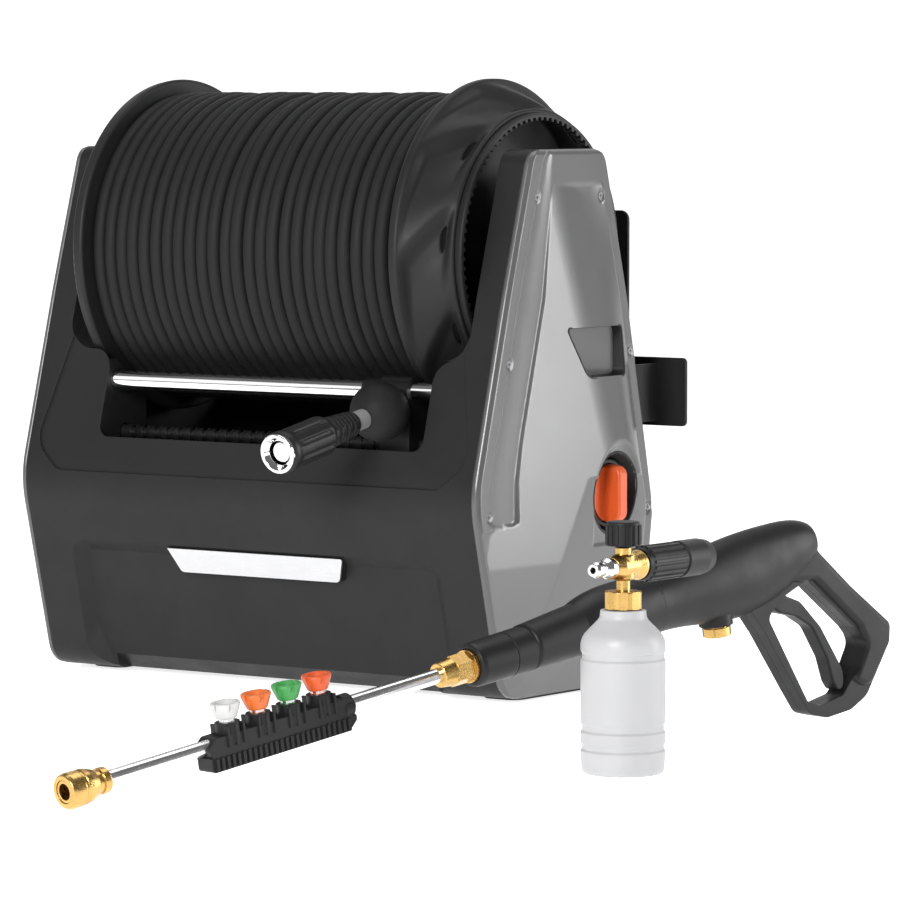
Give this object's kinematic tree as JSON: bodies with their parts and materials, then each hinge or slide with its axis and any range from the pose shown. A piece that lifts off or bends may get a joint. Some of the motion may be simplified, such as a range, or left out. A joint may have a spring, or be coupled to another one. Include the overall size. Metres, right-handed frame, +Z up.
{
  "type": "hose-reel pressure washer set",
  "caption": "Electric pressure washer with a hose reel, for a wall or floor, with a trigger gun and lance, clip-on spray nozzles and a foam cannon.",
  "frame": {"origin": "on the floor under the reel's axis, half way between the two towers", "axes": "+Z up, -Y out of the machine's front, +X to the machine's right as seen from the front, along the reel's axis"},
  "size_m": [0.8074, 0.9279, 0.4989],
  "materials": {
    "shell": "satin moulded plastic",
    "side_panel": "satin moulded plastic",
    "foot_rubber": "matt",
    "screw_steel": "satin",
    "badge": "satin",
    "black_plastic": "satin",
    "orange_plastic": "semi-gloss",
    "sheet_steel": "powder coat",
    "plain_steel": "satin",
    "bearing_steel": "ground",
    "cast_aluminium": "as cast",
    "brass": "machined",
    "chrome_rod": "polished",
    "belt_rubber": "matt",
    "dark_plastic": "satin",
    "hose_rubber": "matt",
    "grey_plastic": "satin",
    "gun_plastic": "satin",
    "polished_steel": "polished",
    "cap_white": "semi-gloss",
    "cap_amber": "semi-gloss",
    "cap_green": "semi-gloss",
    "cap_red": "semi-gloss",
    "bottle_plastic": "translucent blow moulding"
  },
  "bodies": {
    "machine": {"front_cover": "shell", "rear_cover": "shell", "base_tray": "black_plastic", "foot_frame": "foot_rubber", "right_side_panel": "side_panel", "left_side_panel": "side_panel", "panel_screws": "screw_steel", "badge_plate": "badge", "switch_bezel": "black_plastic", "frame_cheeks": "plain_steel", "drum_bearings": "bearing_steel", "wall_bracket": "sheet_steel", "motor": "cast_aluminium", "pump_head": "brass", "pressure_pipe": "plain_steel", "water_inlet": "brass", "cable_gland": "black_plastic", "guide_rod": "chrome_rod", "timing_belt": "belt_rubber"},
    "pawl": {"ratchet_pawl": "dark_plastic"},
    "reel": {"reel_shaft": "plain_steel", "drum_core": "dark_plastic", "left_flange": "dark_plastic", "right_flange": "dark_plastic", "ring_gear": "dark_plastic", "hose_coil": "hose_rubber", "drum_pulley": "black_plastic"},
    "screw": {"leadscrew": "dark_plastic", "screw_pulley": "black_plastic"},
    "switch": {"switch_knob": "orange_plastic"},
    "hose_guide": {"carriage": "dark_plastic", "hose_lead": "hose_rubber", "ball_stop": "hose_rubber", "hose_ferrule": "grey_plastic", "strain_relief": "black_plastic", "hose_insert": "plain_steel"},
    "union_nut": {"hose_nut": "black_plastic", "nut_ring": "polished_steel"},
    "gun": {"gun_shell_left": "gun_plastic", "gun_shell_right": "gun_plastic", "gun_valve": "brass", "gun_inlet": "brass", "lance_nut": "brass", "lance_tube": "polished_steel", "coupler_body": "brass", "nozzle_holder": "black_plastic"},
    "sleeve": {"coupler_sleeve": "brass"},
    "trigger": {"gun_trigger": "black_plastic"},
    "latch": {"trigger_latch": "orange_plastic"},
    "nozzle_white": {"nozzle_white": "cap_white"},
    "nozzle_amber": {"nozzle_amber": "cap_amber"},
    "nozzle_green": {"nozzle_green": "cap_green"},
    "nozzle_red": {"nozzle_red": "cap_red"},
    "bottle": {"foam_bottle": "bottle_plastic"},
    "foam_head": {"bottle_collar": "brass", "foam_body": "brass", "foam_plug": "polished_steel", "suction_tube": "bottle_plastic"},
    "dosing_knob": {"foam_knob": "black_plastic"},
    "spray_head": {"foam_nozzle": "black_plastic"}
  },
  "joints": [
    {"name": "reel_spin", "type": "hinge", "parent": "machine", "child": "reel", "pos_m": [0, 0.01, 0.358], "axis": [-1, 0, 0], "range_deg": [0, 7200]},
    {"name": "screw_spin", "type": "hinge", "parent": "machine", "child": "screw", "pos_m": [0, -0.09, 0.204], "axis": [-1, 0, 0], "range_deg": [0, 7200]},
    {"name": "guide_slide", "type": "slide", "parent": "machine", "child": "hose_guide", "axis": [-1, 0, 0], "range_m": [0, 0.252]},
    {"name": "pawl_swing", "type": "hinge", "parent": "machine", "child": "pawl", "pos_m": [0.2, -0.004, 0.266], "axis": [1, 0, 0], "range_deg": [0, 6], "stiffness_Nm_per_rad": 0.02},
    {"name": "switch_turn", "type": "hinge", "parent": "machine", "child": "switch", "pos_m": [0.235, 0.05, 0.161], "axis": [1, 0, 0], "range_deg": [0, 90]},
    {"name": "nut_spin", "type": "hinge", "parent": "hose_guide", "child": "union_nut", "pos_m": [0.136, -0.2292, 0.21409], "axis": [0, -0.982, -0.1891], "continuous": true},
    {"name": "gun_lift", "type": "slide", "parent": "machine", "child": "gun", "axis": [0, 0, 1], "range_m": [0, 0.3]},
    {"name": "sleeve_pull", "type": "slide", "parent": "gun", "child": "sleeve", "axis": [0.2138, 0.9644, 0.1556], "range_m": [0, 0.0045], "stiffness_N_per_m": 600},
    {"name": "trigger_pull", "type": "hinge", "parent": "gun", "child": "trigger", "pos_m": [0.48257, -0.10214, 0.10521], "axis": [0.9763, -0.2164, 0], "range_deg": [0, 7], "stiffness_Nm_per_rad": 2},
    {"name": "latch_flip", "type": "hinge", "parent": "trigger", "child": "latch", "pos_m": [0.49731, -0.03565, 0.05013], "axis": [-0.9763, 0.2164, 0], "range_deg": [0, 15]},
    {"name": "white_nozzle_pull", "type": "slide", "parent": "gun", "child": "nozzle_white", "axis": [-0.0337, -0.1519, 0.9878], "range_m": [0, 0.03]},
    {"name": "amber_nozzle_pull", "type": "slide", "parent": "gun", "child": "nozzle_amber", "axis": [-0.0337, -0.1519, 0.9878], "range_m": [0, 0.03]},
    {"name": "green_nozzle_pull", "type": "slide", "parent": "gun", "child": "nozzle_green", "axis": [-0.0337, -0.1519, 0.9878], "range_m": [0, 0.03]},
    {"name": "red_nozzle_pull", "type": "slide", "parent": "gun", "child": "nozzle_red", "axis": [-0.0337, -0.1519, 0.9878], "range_m": [0, 0.03]},
    {"name": "bottle_lift", "type": "slide", "parent": "machine", "child": "bottle", "axis": [0, 0, 1], "range_m": [0, 0.3]},
    {"name": "head_lift", "type": "slide", "parent": "bottle", "child": "foam_head", "axis": [0, 0, 1], "range_m": [0, 0.13]},
    {"name": "dosing_turn", "type": "hinge", "parent": "foam_head", "child": "dosing_knob", "pos_m": [0.534, -0.378, 0.17], "axis": [0, 0, 1], "range_deg": [0, 270]},
    {"name": "spray_head_turn", "type": "hinge", "parent": "foam_head", "child": "spray_head", "pos_m": [0.534, -0.32, 0.149], "axis": [0, 1, 0], "range_deg": [0, 90]}
  ],
  "couplings": [
    {"joint": "screw_spin", "follows": "reel_spin", "ratio": 1},
    {"joint": "guide_slide", "follows": "reel_spin", "m_per_rad": 0.0020022}
  ]
}
